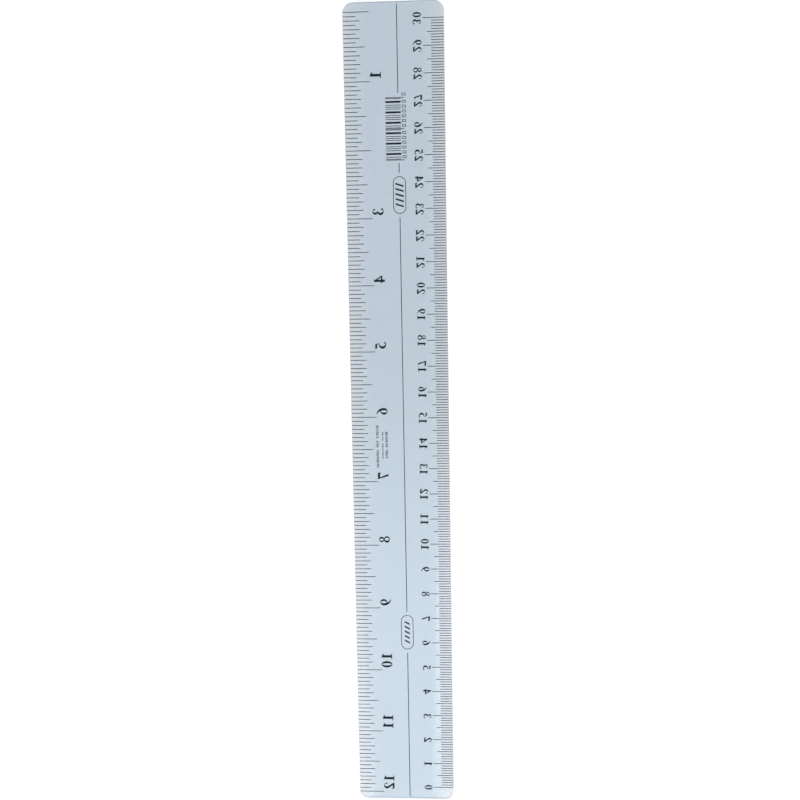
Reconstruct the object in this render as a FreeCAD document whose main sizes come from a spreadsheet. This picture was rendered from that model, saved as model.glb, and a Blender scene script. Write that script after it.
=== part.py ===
import FreeCAD, Part
import os
import Sketcher
from FreeCAD import Placement, Rotation, Vector

# A flat see-through desk ruler, 30 centimetres along one long edge and 12 inches along the other.
# One moulded blade carries a printed scale. The blade lies with its flat printed back up and rests
# on the flat land between the two long bevels of its front, so the print reads the right way
# round through the plastic, from below.
# Frame: X across the blade (inch edge at -X, centimetre edge at +X), Y along it (30 cm and
# 0 inch at the +Y end), Z up, origin under the middle of the blade on the surface it rests on.

DIMENSIONS = {
    "blade_length": 311.4,
    "blade_width": 38.0,
    "blade_thickness": 2.4,
    "edge_thickness": 1.0,
    "bevel_width": 8.5,
    "corner_radius": 4.0,
    "edge_round": 0.15,
    "ink_thickness": 0.05,
    "mark_width": 0.25,
    "edge_gap": 0.2,
    "centimetre_pitch": 10.0,
    "metric_end_margin": 6.4,
    "millimetre_mark": 4.9,
    "half_centimetre_mark": 6.5,
    "centimetre_mark": 8.0,
    "metric_numeral_inset": 8.6,
    "metric_numeral_height": 3.1,
    "inch_pitch": 25.4,
    "inch_end_margin": 3.6,
    "sixteenth_mark": 4.9,
    "eighth_mark": 6.4,
    "half_inch_mark": 8.2,
    "inch_mark": 9.9,
    "inch_numeral_inset": 9.9,
    "inch_numeral_height": 4.2,
    "inch_numeral_lead": 0.6,
    "centre_line_inset": 17.67,
    "centre_line_width": 0.28,
    "centre_line_gap": 1.4,
    "centre_line_end_gap": 1.0,
    "badge_length": 14.0,
    "badge_width": 4.9,
    "badge_line": 0.25,
    "upper_badge_place": 235.2,
    "lower_badge_place": 64.3,
    "hatch_pitch": 1.9,
    "hatch_slant": 1.0,
    "upper_hatch_height": 3.1,
    "lower_hatch_height": 2.0,
    "hatch_bar": 0.66,
    "bar_module": 0.24,
    "bar_panel_place": 248.5,
    "bar_panel_inset": 16.7,
    "bar_length": 5.8,
    "guard_extra": 1.3,
    "caption_inset": 14.8,
    "caption_height": 1.45,
    "caption_width": 1.0,
    "caption_stroke": 0.22,
    "caption_start": 0.45,
    "caption_pitch": 1.78,
    "fine_print_place": 130.7,
    "fine_print_pitch": 0.88,
}

CENTIMETRES = 30
INCHES = 12
UNPRINTED_INCHES = (0, 2)

# How closely an edge follows a direction or a height to count as lying along it.
PARALLEL = 0.999
LEVEL = 1e-4

doc = FreeCAD.newDocument("Ruler")
sheet = doc.addObject("Spreadsheet::Sheet", "Sizes")
for row, (name, value) in enumerate(DIMENSIONS.items(), start=1):
    sheet.set(f"A{row}", name)
    sheet.set(f"B{row}", str(value))
    sheet.setAlias(f"B{row}", name)
doc.recompute()

subparts = []


def size(formula):
    """The value in millimetres of a formula over the sheet's named sizes."""
    return float(sheet.evalExpression(formula))


def bind(target, **formulas):
    """Ties properties of an object to formulas over the sheet; __ in a name stands for a dot."""
    for name, formula in formulas.items():
        target.setExpression(name.replace("__", "."), formula)


# The two printed scales. Each has a frame of its own on the print's outer surface: its X runs
# inwards from the scale's edge, its Y along the scale from zero, and its Z down into the blade.
SCALES = {
    "metric": {
        "edge": "Sizes.blade_width / 2",
        "inwards": -1,
        "zero": (
            "Sizes.blade_length / 2 - Sizes.metric_end_margin"
            f" - {CENTIMETRES} * Sizes.centimetre_pitch"
        ),
        "upwards": 1,
    },
    "inch": {
        "edge": "-Sizes.blade_width / 2",
        "inwards": 1,
        "zero": "Sizes.blade_length / 2 - Sizes.inch_end_margin",
        "upwards": -1,
    },
}


def place_on_scale(target, scale, inset="0", along="0", turned=0):
    """Puts an object at an inset from a scale's edge and a distance along from its zero."""
    side = SCALES[scale]
    flipped = Rotation(
        Vector(side["inwards"], 0, 0), Vector(0, side["upwards"], 0), Vector(0, 0, -1), "XYZ"
    )
    target.Placement = Placement(Vector(), flipped.multiply(Rotation(Vector(0, 0, 1), turned)))
    bind(
        target,
        Placement__Base__x=f"{side['edge']} + ({side['inwards']}) * ({inset})",
        Placement__Base__y=f"{side['zero']} + ({side['upwards']}) * ({along})",
        Placement__Base__z="Sizes.blade_thickness + Sizes.ink_thickness",
    )


# Sketches.


def new_body(label):
    body = doc.addObject("PartDesign::Body", label)
    body.Label = label
    body.AllowCompound = True
    subparts.append(body)
    return body


def new_sketch(body, name, plane="XY_Plane"):
    sketch = body.newObject("Sketcher::SketchObject", name)
    support = next(o for o in body.Origin.OriginFeatures if o.Role == plane)
    sketch.AttachmentSupport = [(support, "")]
    sketch.MapMode = "FlatFace"
    return sketch


def constrain_all(sketch, dimensions):
    """Driving dimensions, each (formula, kind, references...), tied to formulas over the sheet."""
    indices = sketch.addConstraint([
        Sketcher.Constraint(kind, *references, size(formula)) for formula, kind, *references in dimensions
    ])
    for index, (formula, *_) in zip(indices, dimensions):
        sketch.setExpression(f"Constraints[{index}]", formula)


def constrain(sketch, formula, kind, *references):
    constrain_all(sketch, [(formula, kind, *references)])


def add_outline(sketch, corners):
    """A closed run of straight lines through corners, each a pair of formulas."""
    points = [Vector(size(x), size(y), 0) for x, y in corners]
    count = len(points)
    first = sketch.GeometryCount
    sketch.addGeometry([Part.LineSegment(points[i], points[(i + 1) % count]) for i in range(count)])
    sketch.addConstraint([
        Sketcher.Constraint("Coincident", first + i, 2, first + (i + 1) % count, 1) for i in range(count)
    ])
    return first


def add_fixed_outline(sketch, corners):
    """A closed outline whose every corner is dimensioned from the sketch's origin."""
    first = add_outline(sketch, corners)
    for i, (x, y) in enumerate(corners):
        constrain(sketch, x, "DistanceX", -1, 1, first + i, 1)
        constrain(sketch, y, "DistanceY", -1, 1, first + i, 1)


def add_rectangle(sketch, left, bottom, width, height):
    """A rectangle dimensioned by one corner, its width and its height."""
    right, top = f"{left} + {width}", f"{bottom} + {height}"
    first = add_outline(sketch, ((left, bottom), (right, bottom), (right, top), (left, top)))
    sides = ("Horizontal", "Vertical", "Horizontal", "Vertical")
    sketch.addConstraint([Sketcher.Constraint(kind, first + line) for line, kind in enumerate(sides)])
    constrain_all(
        sketch,
        (
            (left, "DistanceX", -1, 1, first, 1),
            (bottom, "DistanceY", -1, 1, first, 1),
            (width, "DistanceX", first, 1, first, 2),
            (height, "DistanceY", first + 1, 1, first + 1, 2),
        ),
    )


def add_stadium(sketch, centre_x, length, width):
    """A slot shape along the sketch's Y, centred at (centre_x, 0), with half-round ends."""
    radius = size(width) / 2
    reach = size(length) / 2 - radius
    middle = size(centre_x)
    first = len(sketch.Geometry)
    for side in (1, -1):
        centre = Vector(middle, side * reach, 0)
        start = Vector(side * radius, 0, 0)
        ends = (centre + start, centre + Vector(0, side * radius, 0), centre - start)
        sketch.addGeometry(Part.Arc(*ends))
        sketch.addGeometry(
            Part.LineSegment(centre - start, Vector(middle - side * radius, -side * reach, 0))
        )
    for i in range(4):
        after = first + (i + 1) % 4
        sketch.addConstraint(Sketcher.Constraint("Tangent", first + i, 2, after, 1))
    sketch.addConstraint(Sketcher.Constraint("Equal", first, first + 2))
    sketch.addConstraint(Sketcher.Constraint("Vertical", first + 1))
    constrain(sketch, f"{width} / 2", "Radius", first)
    constrain(sketch, centre_x, "DistanceX", -1, 1, first, 3)
    constrain(sketch, f"({length} - {width}) / 2", "DistanceY", -1, 1, first, 3)
    constrain(sketch, f"({length} - {width})", "DistanceY", first + 2, 3, first, 3)


def pad_ink(body, sketch):
    pad = body.newObject("PartDesign::Pad", "ink_" + body.Name)
    pad.Profile = sketch
    bind(pad, Length="Sizes.ink_thickness")
    return pad


def repeat_along(body, pad, count, pitch):
    """Repeats a body's ink along the scale; pitch is a formula."""
    axis = next(o for o in body.Origin.OriginFeatures if o.Role == "Y_Axis")
    pattern = body.newObject("PartDesign::LinearPattern", "repeat_" + body.Name)
    pattern.Originals = [pad]
    pattern.Direction = (axis, [""])
    pattern.Occurrences = count
    bind(pattern, Length=f"{count - 1} * {pitch}")
    body.Tip = pattern
    return pattern


# The blade.


def straight_edges_along(shape, axis):
    """Names of the straight edges that run along an axis."""
    names = []
    for i, edge in enumerate(shape.Edges, start=1):
        if isinstance(edge.Curve, Part.Line) and abs(edge.Curve.Direction.dot(axis)) > PARALLEL:
            names.append(f"Edge{i}")
    return names


def rim_edges(shape, height):
    """Names of the edges that lie wholly at one height."""
    names = []
    for i, edge in enumerate(shape.Edges, start=1):
        box = edge.BoundBox
        if abs(box.ZMin - height) < LEVEL and abs(box.ZMax - height) < LEVEL:
            names.append(f"Edge{i}")
    return names


def add_fillet(body, base, edges, radius):
    fillet = body.newObject("PartDesign::Fillet", "round_" + radius.split(".")[1])
    fillet.Base = (base, edges)
    bind(fillet, Radius=radius)
    doc.recompute()
    return fillet


def make_blade():
    """The moulded blade: a flat back, a flat land in front and a long bevel at each edge."""
    body = new_body("blade")
    sketch = new_sketch(body, "blade_section", "XZ_Plane")
    half_width = "Sizes.blade_width / 2"
    half_land = "(Sizes.blade_width / 2 - Sizes.bevel_width)"
    shoulder = "(Sizes.blade_thickness - Sizes.edge_thickness)"
    top = "Sizes.blade_thickness"
    add_fixed_outline(
        sketch,
        (
            ("-" + half_width, top),
            ("-" + half_width, shoulder),
            ("-" + half_land, "0"),
            (half_land, "0"),
            (half_width, shoulder),
            (half_width, top),
        ),
    )
    pad = body.newObject("PartDesign::Pad", "blade_pad")
    pad.Profile = sketch
    pad.Midplane = True
    bind(pad, Length="Sizes.blade_length")
    doc.recompute()
    corners = straight_edges_along(pad.Shape, Vector(0, 0, 1))
    rounded = add_fillet(body, pad, corners, "Sizes.corner_radius")
    rim = rim_edges(rounded.Shape, size("Sizes.blade_thickness"))
    add_fillet(body, rounded, rim, "Sizes.edge_round")
    return body


# The graduations.


def make_marks(label, scale, places, length, count, pitch):
    """Printed lines square to a scale's edge: a group at places, repeated at a pitch."""
    body = new_body(label)
    place_on_scale(body, scale)
    sketch = new_sketch(body, label + "_sketch")
    for place in places:
        bottom = f"{place} - Sizes.mark_width / 2"
        add_rectangle(sketch, "Sizes.edge_gap", bottom, f"{length} - Sizes.edge_gap", "Sizes.mark_width")
    repeat_along(body, pad_ink(body, sketch), count, pitch)
    return body


def make_graduations():
    millimetre = "Sizes.centimetre_pitch / 10"
    fine = [f"{n} * {millimetre}" for n in range(1, 5)]
    make_marks(
        "millimetre_marks", "metric", fine, "Sizes.millimetre_mark",
        2 * CENTIMETRES, "Sizes.centimetre_pitch / 2",
    )
    make_marks(
        "half_centimetre_marks", "metric", [f"5 * {millimetre}"], "Sizes.half_centimetre_mark",
        CENTIMETRES, "Sizes.centimetre_pitch",
    )
    make_marks(
        "centimetre_marks", "metric", ["0"], "Sizes.centimetre_mark",
        CENTIMETRES + 1, "Sizes.centimetre_pitch",
    )
    make_marks(
        "sixteenth_inch_marks", "inch", ["Sizes.inch_pitch / 16"], "Sizes.sixteenth_mark",
        8 * INCHES, "Sizes.inch_pitch / 8",
    )
    make_marks(
        "eighth_inch_marks", "inch", [f"{n} * Sizes.inch_pitch / 8" for n in range(1, 4)],
        "Sizes.eighth_mark", 2 * INCHES, "Sizes.inch_pitch / 2",
    )
    make_marks(
        "half_inch_marks", "inch", ["Sizes.inch_pitch / 2"], "Sizes.half_inch_mark",
        INCHES, "Sizes.inch_pitch",
    )
    make_marks(
        "inch_marks", "inch", ["0"], "Sizes.inch_mark",
        INCHES + 1, "Sizes.inch_pitch",
    )


# The numerals: heavy upright strokes, hairline joints and flat serifs. Each digit is drawn with
# its foot on the line and a height of 1, out of ellipses and straight-sided pieces.

DIGIT_ADVANCE = 0.78


def ellipse(across, up, half_width, half_height):
    centre = Vector(across, up, 0)
    if half_width == half_height:
        return Part.Face(Part.Wire(Part.Circle(centre, Vector(0, 0, 1), half_width).toShape()))
    tall = half_height > half_width
    long_end = Vector(0, half_height, 0) if tall else Vector(half_width, 0, 0)
    short_end = Vector(-half_width, 0, 0) if tall else Vector(0, half_height, 0)
    curve = Part.Ellipse(centre + long_end, centre + short_end, centre)
    return Part.Face(Part.Wire(curve.toShape()))


def polygon(*corners):
    points = [Vector(x, y, 0) for x, y in corners]
    face = Part.Face(Part.makePolygon(points + points[:1]))
    return facing_up(face)


def facing_up(face):
    if face.normalAt(0, 0).z < 0:
        face.reverse()
    return face


def box(left, bottom, right, top):
    return polygon((left, bottom), (right, bottom), (right, top), (left, top))


def join(first, *others):
    """One face out of overlapping flat pieces."""
    return Part.Shell(first.fuse(list(others)).Faces).removeSplitter().Faces[0]


def digit_0():
    return ellipse(0.37, 0.5, 0.31, 0.51).cut(ellipse(0.37, 0.5, 0.105, 0.44))


def digit_1():
    flag = polygon((0.12, 0.81), (0.12, 0.88), (0.42, 1.01), (0.49, 1.01), (0.49, 0.7), (0.27, 0.79))
    return join(box(0.26, 0.03, 0.49, 0.9), flag, box(0.12, 0.0, 0.63, 0.085))


def digit_2():
    bowl = ellipse(0.34, 0.72, 0.29, 0.29).cut(ellipse(0.265, 0.72, 0.15, 0.225))
    bowl = bowl.cut(box(-0.1, 0.3, 0.30, 0.72)).cut(box(-0.1, 0.3, 0.9, 0.56))
    tail = polygon((0.582, 0.57), (0.375, 0.57), (0.05, 0.12), (0.05, 0.0), (0.20, 0.05))
    foot = polygon((0.05, 0.0), (0.60, 0.0), (0.68, 0.27), (0.63, 0.27), (0.56, 0.18), (0.16, 0.18))
    return join(bowl, tail, foot, ellipse(0.12, 0.76, 0.075, 0.08))


def digit_3():
    upper = ellipse(0.32, 0.76, 0.26, 0.25).cut(ellipse(0.245, 0.765, 0.15, 0.19))
    lower = ellipse(0.30, 0.28, 0.33, 0.29).cut(ellipse(0.225, 0.285, 0.19, 0.23))
    upper = upper.cut(box(-0.1, 0.4, 0.24, 0.84))
    lower = lower.cut(box(-0.1, 0.13, 0.26, 0.8))
    return join(upper, lower, ellipse(0.095, 0.13, 0.09, 0.09), ellipse(0.14, 0.84, 0.08, 0.08))


def digit_4():
    stem = box(0.38, 0.0, 0.59, 1.0)
    slope = polygon((0.02, 0.23), (0.02, 0.33), (0.46, 1.0), (0.50, 1.0), (0.50, 0.86), (0.12, 0.30))
    return join(stem, slope, box(0.02, 0.22, 0.69, 0.37))


def digit_5():
    bowl = ellipse(0.26, 0.33, 0.38, 0.34).cut(ellipse(0.185, 0.335, 0.23, 0.27))
    bowl = bowl.cut(box(-0.3, 0.14, 0.14, 0.9)).cut(box(-0.3, -0.1, 0.08, 0.9))
    neck = polygon((0.13, 0.595), (0.21, 1.0), (0.29, 1.0), (0.20, 0.63))
    flag = polygon((0.22, 1.0), (0.58, 1.0), (0.66, 1.03), (0.60, 0.82), (0.19, 0.82))
    return join(bowl, neck, flag, ellipse(0.10, 0.105, 0.08, 0.08))


def digit_6():
    bowl = ellipse(0.38, 0.32, 0.31, 0.33).cut(ellipse(0.39, 0.315, 0.11, 0.265))
    sweep = ellipse(0.68, 0.34, 0.61, 0.67).cut(ellipse(0.735, 0.34, 0.445, 0.625))
    return join(bowl, sweep.cut(box(0.64, -0.5, 1.5, 1.2)).cut(box(-0.1, -0.5, 0.9, 0.34)))


def digit_7():
    return polygon(
        (0.06, 0.74), (0.10, 1.0), (0.68, 1.0), (0.68, 0.95), (0.40, 0.0), (0.20, 0.0),
        (0.51, 0.80), (0.20, 0.80), (0.10, 0.72),
    )


def digit_8():
    upper = ellipse(0.37, 0.765, 0.26, 0.245).cut(ellipse(0.39, 0.775, 0.105, 0.175))
    lower = ellipse(0.37, 0.275, 0.31, 0.285).cut(ellipse(0.35, 0.265, 0.135, 0.21))
    return join(upper, lower)


def digit_9():
    turned = digit_6()
    turned.rotate(Vector(0.375, 0.5, 0), Vector(0, 0, 1), 180)
    return turned


DIGITS = {
    str(n): draw()
    for n, draw in enumerate(
        (digit_0, digit_1, digit_2, digit_3, digit_4, digit_5, digit_6, digit_7, digit_8, digit_9)
    )
}


def numeral_outline(number, height, lean):
    """The flat digits of a number, hanging from their tops; lean is the share of their width
    that lies before the origin."""
    text = str(number)
    width = DIGIT_ADVANCE * len(text)
    faces = []
    for i, character in enumerate(text):
        face = DIGITS[character].copy()
        face.translate(Vector(i * DIGIT_ADVANCE - lean * width, -1, 0))
        faces.append(face)
    outline = Part.makeCompound(faces)
    outline.scale(height)
    return outline


def make_numeral(label, number, scale, height, lean, inset, along):
    """One number in ink, its top towards the edge, reading towards the scale's high end."""
    outline = doc.addObject("Part::Feature", label + "_outline")
    outline.Shape = numeral_outline(number, size(height), lean)
    numeral = doc.addObject("Part::Extrusion", label)
    numeral.Label = label
    numeral.Base = outline
    numeral.DirMode = "Custom"
    numeral.Dir = Vector(0, 0, 1)
    numeral.Solid = True
    bind(numeral, LengthFwd="Sizes.ink_thickness")
    place_on_scale(numeral, scale, inset, along, turned=90)
    subparts.append(numeral)


def make_numerals():
    for number in range(CENTIMETRES + 1):
        make_numeral(
            f"centimetre_numeral_{number:02d}", number, "metric", "Sizes.metric_numeral_height",
            0.5, "Sizes.metric_numeral_inset", f"{number} * Sizes.centimetre_pitch",
        )
    for number in range(INCHES + 1):
        if number in UNPRINTED_INCHES:
            continue
        make_numeral(
            f"inch_numeral_{number:02d}", number, "inch", "Sizes.inch_numeral_height",
            1.0, "Sizes.inch_numeral_inset",
            f"{number} * Sizes.inch_pitch - Sizes.inch_numeral_lead",
        )


# The centre line, the two badges, the bar panel and the fine print. The devices are plain
# patterns that stand for nothing.

BAR_RHYTHM = ((0, 1), (3, 1), (7, 3), (13, 1))
BAR_RHYTHM_MODULES = 16
BAR_RHYTHM_REPEATS = 6
GUARD_BARS = 3
GUARD_LEAD_MODULES = 1.5
# The boxes beside the bars, as (half of the panel, boxes); the last stands beyond the panel.
CAPTION_GROUPS = ((0, 6), (1, 6), (2, 1))
HATCH_BARS = 5
# Fine print stands as strokes. Each cell of a row takes the next kind in turn, whose strokes are
# (start, width, foot, height) as shares of the cell's pitch and the row's height.
STROKE_KINDS = (
    ((0.0, 0.26, 0.0, 1.0), (0.46, 0.26, 0.0, 1.0)),
    ((0.1, 0.32, 0.0, 1.0), (0.58, 0.22, 0.0, 0.4)),
    ((0.0, 0.24, 0.5, 0.5), (0.42, 0.32, 0.0, 1.0)),
)
# Rows of fine print: inset from the centimetre edge, height, and words of (first cell, cells).
FINE_PRINT_ROWS = (
    (23.95, 0.95, ((4, 4), (9, 7))),
    (25.65, 0.55, ((4, 7), (12, 4))),
    (27.5, 0.95, ((0, 8), (9, 3), (13, 6))),
)


def make_centre_line():
    """A thin line along the blade, broken around the badges and the bar panel."""
    body = new_body("centre_line")
    place_on_scale(body, "metric", "Sizes.centre_line_inset")
    sketch = new_sketch(body, "centre_line_sketch")
    scale_length = f"{CENTIMETRES} * Sizes.centimetre_pitch"
    half_badge = "Sizes.badge_length / 2"
    panel_length = f"{BAR_RHYTHM_MODULES * BAR_RHYTHM_REPEATS} * Sizes.bar_module"
    gap = "Sizes.centre_line_gap"
    low_end = f"{scale_length} + Sizes.metric_end_margin - Sizes.blade_length + Sizes.centre_line_end_gap"
    high_end = f"{scale_length} + Sizes.metric_end_margin - Sizes.centre_line_end_gap"
    devices = (
        (f"Sizes.lower_badge_place - {half_badge}", f"Sizes.lower_badge_place + {half_badge}"),
        (f"Sizes.upper_badge_place - {half_badge}", f"Sizes.upper_badge_place + {half_badge}"),
        ("Sizes.bar_panel_place", f"Sizes.bar_panel_place + {panel_length}"),
    )
    starts = [low_end] + [f"{high} + {gap}" for low, high in devices]
    ends = [f"{low} - {gap}" for low, high in devices] + [high_end]
    for start, end in zip(starts, ends):
        length = f"(({end}) - ({start}))"
        add_rectangle(
            sketch, "-Sizes.centre_line_width / 2", f"({start})", "Sizes.centre_line_width", length
        )
    pad_ink(body, sketch)


def make_badge(name, place, hatch_height):
    """A stadium outline centred on the centre line, with a row of slanted bars inside it."""
    outline = new_body(name + "_outline")
    place_on_scale(outline, "metric", "Sizes.centre_line_inset", place)
    ring = new_sketch(outline, name + "_ring")
    add_stadium(ring, "0", "Sizes.badge_length", "Sizes.badge_width")
    inner = "(Sizes.{0} - 2 * Sizes.badge_line)"
    add_stadium(ring, "0", inner.format("badge_length"), inner.format("badge_width"))
    pad_ink(outline, ring)
    hatching = new_body(name + "_hatching")
    first_bar = f"{place} - {(HATCH_BARS - 1) / 2} * Sizes.hatch_pitch"
    place_on_scale(hatching, "metric", "Sizes.centre_line_inset", first_bar)
    bar = new_sketch(hatching, name + "_bar")
    half_height = f"{hatch_height} / 2"
    low, high = "(-Sizes.hatch_slant - Sizes.hatch_bar) / 2", "(Sizes.hatch_slant - Sizes.hatch_bar) / 2"
    add_fixed_outline(
        bar,
        (
            ("-" + half_height, low),
            (half_height, high),
            (half_height, high + " + Sizes.hatch_bar"),
            ("-" + half_height, low + " + Sizes.hatch_bar"),
        ),
    )
    repeat_along(hatching, pad_ink(hatching, bar), HATCH_BARS, "Sizes.hatch_pitch")


def make_repeated_rectangles(label, inset, along, rectangles, count, pitch):
    """Ink rectangles, each (left, bottom, width, height), repeated along the metric scale."""
    body = new_body(label)
    place_on_scale(body, "metric", inset, along)
    sketch = new_sketch(body, label + "_sketch")
    for rectangle in rectangles:
        add_rectangle(sketch, *rectangle)
    repeat_along(body, pad_ink(body, sketch), count, pitch)


def make_bar_panel():
    """Bars in one repeating rhythm, three longer guard bars and a row of boxes beside them."""
    inset, place, module = "Sizes.bar_panel_inset", "Sizes.bar_panel_place", "Sizes.bar_module"
    rhythm = f"{BAR_RHYTHM_MODULES} * {module}"
    bars = [
        ("0", f"{start} * {module}", "Sizes.bar_length", f"{modules} * {module}")
        for start, modules in BAR_RHYTHM
    ]
    make_repeated_rectangles("bar_panel_bars", inset, place, bars, BAR_RHYTHM_REPEATS, rhythm)
    guard_length = "(Sizes.bar_length + Sizes.guard_extra)"
    guards = [("-Sizes.guard_extra", f"-{GUARD_LEAD_MODULES} * {module}", guard_length, module)]
    guard_pitch = f"({BAR_RHYTHM_REPEATS} / {GUARD_BARS - 1} * {rhythm})"
    make_repeated_rectangles("bar_panel_guards", inset, place, guards, GUARD_BARS, guard_pitch)
    caption = new_body("bar_panel_caption")
    place_on_scale(caption, "metric", "Sizes.caption_inset", place)
    sketch = new_sketch(caption, "bar_panel_caption_sketch")
    half_panel = f"{BAR_RHYTHM_REPEATS / 2} * {rhythm}"
    stroke = "Sizes.caption_stroke"
    for half, boxes in CAPTION_GROUPS:
        for box_number in range(boxes):
            along = f"Sizes.caption_start + {half} * {half_panel} + {box_number} * Sizes.caption_pitch"
            add_empty_box(sketch, along, "Sizes.caption_height", "Sizes.caption_width", stroke)
    pad_ink(caption, sketch)


def add_empty_box(sketch, along, height, width, stroke):
    """A box drawn in one stroke's width, from the sketch's Y axis inwards."""
    add_rectangle(sketch, "0", along, height, width)
    add_rectangle(
        sketch, stroke, f"{along} + {stroke}", f"({height} - 2 * {stroke})", f"({width} - 2 * {stroke})"
    )


def make_fine_print():
    """Three rows of plain strokes where small print stands."""
    body = new_body("fine_print")
    place_on_scale(body, "metric", "0", "Sizes.fine_print_place")
    sketch = new_sketch(body, "fine_print_sketch")
    pitch = "Sizes.fine_print_pitch"
    for inset, row_height, words in FINE_PRINT_ROWS:
        for first, cells in words:
            for cell in range(first, first + cells):
                for start, width, foot, height in STROKE_KINDS[cell % len(STROKE_KINDS)]:
                    add_rectangle(
                        sketch, f"{inset} + {foot} * {row_height}", f"({cell} + {start}) * {pitch}",
                        f"{height} * {row_height}", f"{width} * {pitch}",
                    )
    pad_ink(body, sketch)


for make in (make_blade, make_graduations, make_numerals, make_centre_line):
    make()
make_badge("upper_badge", "Sizes.upper_badge_place", "Sizes.upper_hatch_height")
make_badge("lower_badge", "Sizes.lower_badge_place", "Sizes.lower_hatch_height")
make_bar_panel()
make_fine_print()
doc.recompute()

for item in doc.Objects:
    if {"Invalid", "Error"} & set(item.State):
        raise RuntimeError(f"{item.Label} did not compute: {item.State}")
for item in subparts:
    if item.Shape.isNull() or not item.Shape.isValid():
        raise RuntimeError(f"{item.Label} has no valid shape")

os.makedirs("parts", exist_ok=True)
for item in subparts:
    item.Shape.exportStep(f"parts/{item.Label}.step")
    print(item.Label, len(item.Shape.Solids), round(item.Shape.Volume, 3))
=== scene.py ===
import math

import bmesh
import bpy
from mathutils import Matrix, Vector


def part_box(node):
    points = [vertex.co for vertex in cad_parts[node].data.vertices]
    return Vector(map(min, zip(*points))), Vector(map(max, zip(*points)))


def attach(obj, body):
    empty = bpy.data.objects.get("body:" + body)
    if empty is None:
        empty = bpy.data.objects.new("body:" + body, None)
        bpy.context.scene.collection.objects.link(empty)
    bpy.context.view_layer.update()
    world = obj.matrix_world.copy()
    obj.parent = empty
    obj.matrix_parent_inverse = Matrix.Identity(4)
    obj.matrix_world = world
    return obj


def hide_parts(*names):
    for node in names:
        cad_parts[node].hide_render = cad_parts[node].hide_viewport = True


# The look of a see-through plastic ruler, lying on its front with the printed back up.
# Metres, in the frame's own axes: X across the blade, Y along it, Z up. Colours are linear.

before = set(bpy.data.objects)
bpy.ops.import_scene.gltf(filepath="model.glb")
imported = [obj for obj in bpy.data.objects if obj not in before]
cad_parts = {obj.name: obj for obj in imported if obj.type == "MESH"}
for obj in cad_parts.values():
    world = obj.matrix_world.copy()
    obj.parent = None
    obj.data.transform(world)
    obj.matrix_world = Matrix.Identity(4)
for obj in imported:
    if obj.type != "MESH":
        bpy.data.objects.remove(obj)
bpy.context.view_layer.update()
BLADE_LOW, BLADE_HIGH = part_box("blade")

# The blade's form, beyond what its box in the frame says. Its top stands INK_BITE into the ink, so
# that no gap shows between them.
LAND_HALF_WIDTH = 0.0105
EDGE_THICKNESS = 0.001
INK_BITE = 0.00001
CORNER_RADIUS, CORNER_SEGMENTS = 0.004, 20
RIM_ROUND, RIM_SEGMENTS = 0.00016, 4
UPRIGHT_Z = 0.999
SHARP_DEGREES = 40
FLAT_FACE_WEIGHT = 100

# The plastic. Its tint is what one pass through it leaves of white. Towards the 0 cm end the tint
# is paler, a painted light gradient as if more light fell there: PALE_SHARE times as light from
# PALE_TO on, easing back to its own value at PALE_FROM.
# The depth tint deepens the long paths inside the blade. Light from the lamps, and light that
# bounces off the floor, goes straight through with the colour PASSED_LIGHT, so that the blade's
# shadow is as pale as clear plastic's.
CENTRE_TINT = (0.572, 0.613, 0.66)
BEVEL_TINT = (0.622, 0.63, 0.654)
PALE_SHARE = 1.16
PALE_FROM, PALE_TO = 0.04, -0.09
PASSED_LIGHT = (0.94, 0.96, 0.97)
DEPTH_TINT = (0.62, 0.76, 0.84)
DEPTH_PER_METRE = 60.0
CLEAR_SHARE = 0.86
ACRYLIC_IOR = 1.49

# Its surface: a patchy haze with fine handling scratches over it.
HAZE_SCALE = (60, 25, 60)
HAZE_ROUGHNESS = (0.03, 0.09)
LENGTHWISE_SCRATCHES = {"across": 3000, "along": 90, "cut": 0.68}
CROSSWISE_SCRATCHES = {"across": 120, "along": 2600, "cut": 0.70}
SCRATCH_EDGE = 0.05
SCRATCH_ROUGHNESS = 0.12
SCRATCH_RELIEF = 0.15
RELIEF_DEPTH = 0.00001

# The ink: near black, with slightly thinner patches and a fine grain.
INK = (0.004, 0.006, 0.010)
THIN_INK_SHARE = 2.2
INK_PATCH_SCALE, INK_PATCH_RANGE = 220, (0.35, 0.75)
INK_GRAIN_SCALE = 2500
INK_ROUGHNESS = (0.42, 0.6)
INK_RELIEF = 0.2
INK_SHINE = 0.15

# The middle of the range of values that a noise texture gives.
NOISE_RANGE = (0.3, 0.7)

# The stage: a floor that curves up into a wall, two softboxes and an even sky.
FLOOR_WHITE = (0.90, 0.90, 0.90)
FLOOR_ROUGHNESS = 0.9
FLOOR_RADIUS = 1.6
FLOOR_DROP = 0.00005
COVE_RADIUS = 1.5
COVE_STEPS = 16
WALL_HEIGHT = 3.2
ROUND_STEPS = 96
SAME_POINT = 1e-6
SOFTBOXES = {"left_softbox": (-1.0, -1.0, 1.4), "right_softbox": (1.0, -1.0, 1.4)}
SOFTBOX_SIZE = 1.2
SOFTBOX_WATTS = 17.0
SKY = (0.96, 0.98, 1.0)
SKY_STRENGTH = 0.75

# The camera looks almost straight down, leaning a little towards the 30 cm end.
CAMERA_PLACE = (0.0292, 0.0554, 0.4287)
CAMERA_DEGREES = (-6.62, 3.79, -1.02)
LENS_MM = 50.0
SENSOR_MM = 36.0


# Node helpers.


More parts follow.
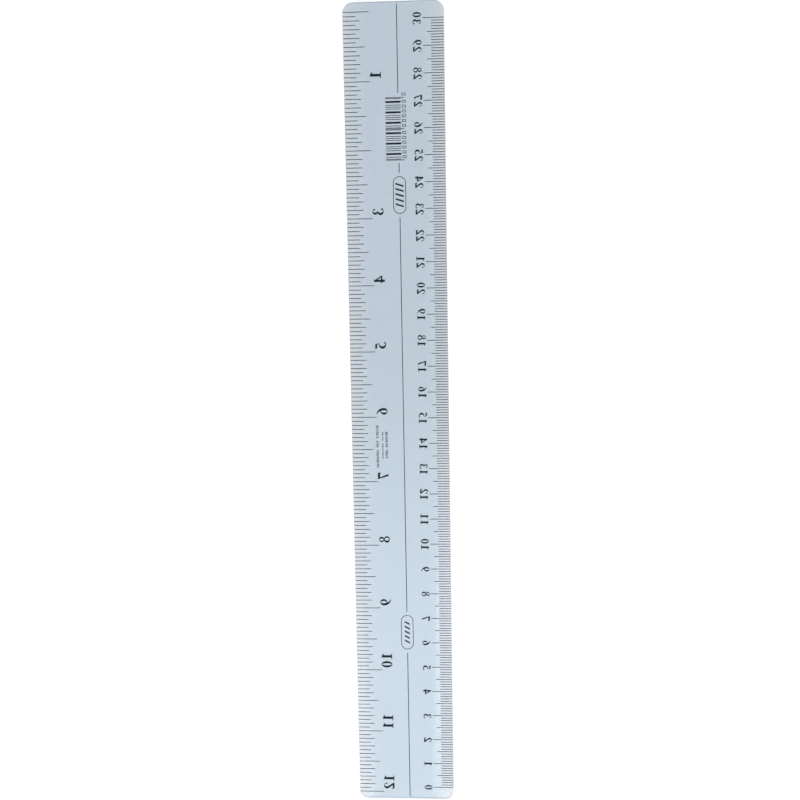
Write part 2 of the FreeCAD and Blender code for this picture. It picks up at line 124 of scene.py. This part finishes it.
class Nodes:
    """A material's node tree, built from short calls."""

    def __init__(self, name):
        self.material = bpy.data.materials.new(name)
        self.material.use_nodes = True
        self.tree = self.material.node_tree
        self.tree.nodes.clear()

    def set_input(self, node, key, value):
        if isinstance(value, bpy.types.NodeSocket):
            self.tree.links.new(value, node.inputs[key])
        elif isinstance(value, tuple) and len(node.inputs[key].default_value) == 4:
            node.inputs[key].default_value = (*value, 1.0)
        else:
            node.inputs[key].default_value = value

    def add(self, kind, settings=None, inputs=None):
        node = self.tree.nodes.new(kind)
        for name, value in (settings or {}).items():
            setattr(node, name, value)
        for key, value in (inputs or {}).items():
            self.set_input(node, key, value)
        return node

    def maths(self, operation, first, second=0.0, clamp=False):
        settings = {"operation": operation, "use_clamp": clamp}
        return self.add("ShaderNodeMath", settings, {0: first, 1: second}).outputs[0]

    def remap(self, value, source, target, smooth=False):
        """A value taken from one (low, high) range to another, and held inside it."""
        settings = {"interpolation_type": "SMOOTHSTEP" if smooth else "LINEAR"}
        inputs = {
            "Value": value, "From Min": source[0], "From Max": source[1],
            "To Min": target[0], "To Max": target[1],
        }
        return self.add("ShaderNodeMapRange", settings, inputs).outputs[0]

    def point(self):
        """The point on the object."""
        return self.add("ShaderNodeTexCoord").outputs["Object"]

    def noise(self, scale, detail=4.0, roughness=0.6):
        """Noise over the object, at a scale along each axis."""
        place = self.add("ShaderNodeMapping", inputs={"Vector": self.point(), "Scale": scale})
        inputs = {
            "Vector": place.outputs[0], "Scale": 1.0, "Detail": detail, "Roughness": roughness,
        }
        return self.add("ShaderNodeTexNoise", inputs=inputs).outputs[0]

    def bump(self, height, strength):
        inputs = {"Strength": strength, "Distance": RELIEF_DEPTH, "Height": height}
        return self.add("ShaderNodeBump", inputs=inputs).outputs[0]

    def mix_colours(self, factor, first, second):
        inputs = {0: factor, 6: first, 7: second}
        return self.add("ShaderNodeMix", {"data_type": "RGBA"}, inputs).outputs[2]

    def mix_shaders(self, factor, first, second):
        return self.add("ShaderNodeMixShader", inputs={0: factor, 1: first, 2: second}).outputs[0]

    def principled(self, inputs):
        return self.add("ShaderNodeBsdfPrincipled", inputs=inputs).outputs[0]

    def finish(self, surface, **others):
        output = self.add("ShaderNodeOutputMaterial", inputs={"Surface": surface})
        for key, socket in others.items():
            self.set_input(output, key, socket)
        return self.material


def scratches(nodes, across, along, cut):
    """Fine straight handling scratches: stretched noise with only its peaks kept."""
    streaks = nodes.noise((across, along, along), detail=2.0, roughness=0.5)
    return nodes.remap(streaks, (cut, cut + SCRATCH_EDGE), (0.0, 1.0))


def plastic_tint(nodes):
    """The blade's tint: greyer over the bevels, where it thins, and paler towards the 0 cm end,
    a painted lengthwise light gradient.
    """
    across, along = nodes.add("ShaderNodeSeparateXYZ", inputs={"Vector": nodes.point()}).outputs[:2]
    from_middle = nodes.maths("ABSOLUTE", across)
    thinning = nodes.remap(from_middle, (LAND_HALF_WIDTH, BLADE_HIGH.x), (0.0, 1.0), smooth=True)
    tint = nodes.mix_colours(thinning, CENTRE_TINT, BEVEL_TINT)
    # Painted light: the tint is scaled paler towards the 0 cm end, as if more light fell there.
    painted_light_scale = nodes.remap(along, (PALE_TO, PALE_FROM), (PALE_SHARE, 1.0), smooth=True)
    inputs = {"Vector": tint, "Scale": painted_light_scale}
    return nodes.add("ShaderNodeVectorMath", {"operation": "SCALE"}, inputs).outputs[0]


def make_plastic():
    """Clear pale-blue plastic, a little hazy and lightly scratched."""
    nodes = Nodes("tinted_clear_plastic")
    tint = plastic_tint(nodes)
    lengthwise = scratches(nodes, **LENGTHWISE_SCRATCHES)
    crosswise = scratches(nodes, **CROSSWISE_SCRATCHES)
    marks = nodes.maths("ADD", lengthwise, crosswise, clamp=True)
    haze = nodes.remap(nodes.noise(HAZE_SCALE), NOISE_RANGE, HAZE_ROUGHNESS)
    scratched = nodes.maths("MULTIPLY", marks, SCRATCH_ROUGHNESS)
    glass = nodes.principled(
        {
            "Base Color": tint, "Roughness": nodes.maths("ADD", haze, scratched, clamp=True),
            "IOR": ACRYLIC_IOR, "Transmission Weight": CLEAR_SHARE,
            "Normal": nodes.bump(marks, SCRATCH_RELIEF),
        }
    )
    passed = nodes.add("ShaderNodeBsdfTransparent", inputs={"Color": PASSED_LIGHT}).outputs[0]
    path = nodes.add("ShaderNodeLightPath")
    lit_by_lamps = nodes.mix_shaders(path.outputs["Is Shadow Ray"], glass, passed)
    lit_all_round = nodes.mix_shaders(path.outputs["Is Diffuse Ray"], lit_by_lamps, passed)
    inputs = {"Color": DEPTH_TINT, "Density": DEPTH_PER_METRE}
    depth = nodes.add("ShaderNodeVolumeAbsorption", inputs=inputs).outputs[0]
    return nodes.finish(lit_all_round, Volume=depth)


def make_ink():
    """Black printing ink: dense, a little uneven, with a faint orange-peel surface."""
    nodes = Nodes("black_ink")
    grain = nodes.noise((INK_GRAIN_SCALE,) * 3)
    thinness = nodes.remap(nodes.noise((INK_PATCH_SCALE,) * 3), INK_PATCH_RANGE, (0.0, 1.0))
    thin_ink = tuple(THIN_INK_SHARE * channel for channel in INK)
    surface = nodes.principled(
        {
            "Base Color": nodes.mix_colours(thinness, INK, thin_ink),
            "Roughness": nodes.remap(grain, NOISE_RANGE, INK_ROUGHNESS),
            "Specular IOR Level": INK_SHINE, "Normal": nodes.bump(grain, INK_RELIEF),
        }
    )
    return nodes.finish(surface)


def make_floor_material():
    nodes = Nodes("pale_floor")
    return nodes.finish(nodes.principled({"Base Color": FLOOR_WHITE, "Roughness": FLOOR_ROUGHNESS}))


# Objects.


def new_object(name, data):
    item = bpy.data.objects.new(name, data)
    bpy.context.scene.collection.objects.link(item)
    return item


def new_mesh_object(name, bm, material):
    mesh = bpy.data.meshes.new(name)
    bm.to_mesh(mesh)
    bm.free()
    mesh.polygons.foreach_set("use_smooth", [True] * len(mesh.polygons))
    mesh.materials.append(material)
    return new_object(name, mesh)


def round_edges(bm, test, radius, segments):
    edges = [edge for edge in bm.edges if test(edge)]
    bmesh.ops.bevel(bm, geom=edges, offset=radius, segments=segments, profile=0.5, affect="EDGES")


def is_upright(edge):
    return abs((edge.verts[0].co - edge.verts[1].co).normalized().z) > UPRIGHT_Z


def is_sharp(edge):
    return edge.calc_face_angle(0.0) > math.radians(SHARP_DEGREES)


def make_blade(material):
    """The moulded blade, with the small rounding that a mould leaves on every edge."""
    top, shoulder = BLADE_HIGH.z + INK_BITE, BLADE_HIGH.z - EDGE_THICKNESS
    section = (
        (BLADE_LOW.x, top), (BLADE_LOW.x, shoulder), (-LAND_HALF_WIDTH, BLADE_LOW.z),
        (LAND_HALF_WIDTH, BLADE_LOW.z), (BLADE_HIGH.x, shoulder), (BLADE_HIGH.x, top),
    )
    bm = bmesh.new()
    near, far = ([bm.verts.new((x, y, z)) for x, z in section] for y in (BLADE_LOW.y, BLADE_HIGH.y))
    for i in range(len(section)):
        after = (i + 1) % len(section)
        bm.faces.new((near[i], near[after], far[after], far[i]))
    bm.faces.new(near[::-1])
    bm.faces.new(far)
    bmesh.ops.recalc_face_normals(bm, faces=bm.faces)
    round_edges(bm, is_upright, CORNER_RADIUS, CORNER_SEGMENTS)
    round_edges(bm, is_sharp, RIM_ROUND, RIM_SEGMENTS)
    piece = new_mesh_object("moulded_blade", bm, material)
    piece.modifiers.new("flat_faces", "WEIGHTED_NORMAL").weight = FLAT_FACE_WEIGHT
    return piece


# The stage.


def make_backdrop():
    """A round floor that curves up into a wall, so that no edge of it shows from any side."""
    profile = [(0.0, 0.0)]
    for step in range(COVE_STEPS + 1):
        turn = math.pi / 2 * step / COVE_STEPS
        out, up = COVE_RADIUS * math.sin(turn), COVE_RADIUS * (1 - math.cos(turn))
        profile.append((FLOOR_RADIUS + out, up))
    profile.append((FLOOR_RADIUS + COVE_RADIUS, WALL_HEIGHT))
    bm = bmesh.new()
    points = [bm.verts.new((r, 0.0, z)) for r, z in profile]
    lines = [bm.edges.new(pair) for pair in zip(points, points[1:])]
    bmesh.ops.spin(
        bm, geom=points + lines, cent=(0, 0, 0), axis=(0, 0, 1), angle=math.tau, steps=ROUND_STEPS,
        use_merge=True,
    )
    bmesh.ops.remove_doubles(bm, verts=bm.verts, dist=SAME_POINT)
    floor = new_mesh_object("floor", bm, make_floor_material())
    floor.location.z = BLADE_LOW.z - FLOOR_DROP


def make_lights():
    for name, place in SOFTBOXES.items():
        light = bpy.data.lights.new(name, "AREA")
        light.size = SOFTBOX_SIZE
        light.energy = SOFTBOX_WATTS
        lamp = new_object(name, light)
        lamp.location = place
        lamp.rotation_euler = (-Vector(place)).to_track_quat("-Z", "Y").to_euler()
    world = bpy.data.worlds.new("studio")
    world.use_nodes = True
    background = world.node_tree.nodes["Background"]
    background.inputs["Color"].default_value = (*SKY, 1.0)
    background.inputs["Strength"].default_value = SKY_STRENGTH
    bpy.context.scene.world = world
    bpy.context.scene.view_settings.view_transform = "Standard"


def make_camera():
    data = bpy.data.cameras.new("camera")
    data.lens = LENS_MM
    data.sensor_width = SENSOR_MM
    camera = new_object("camera", data)
    camera.location = CAMERA_PLACE
    camera.rotation_euler = [math.radians(angle) for angle in CAMERA_DEGREES]
    bpy.context.scene.camera = camera


blade = make_blade(make_plastic())
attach(blade, "root")
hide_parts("blade")

ink = make_ink()
for name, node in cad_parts.items():
    if name != "blade":
        node.data.materials.clear()
        node.data.materials.append(ink)
        # The print is too fine to leave a shadow that shows on the floor under the blade.
        node.visible_shadow = node.visible_diffuse = False

make_backdrop()
make_lights()
make_camera()
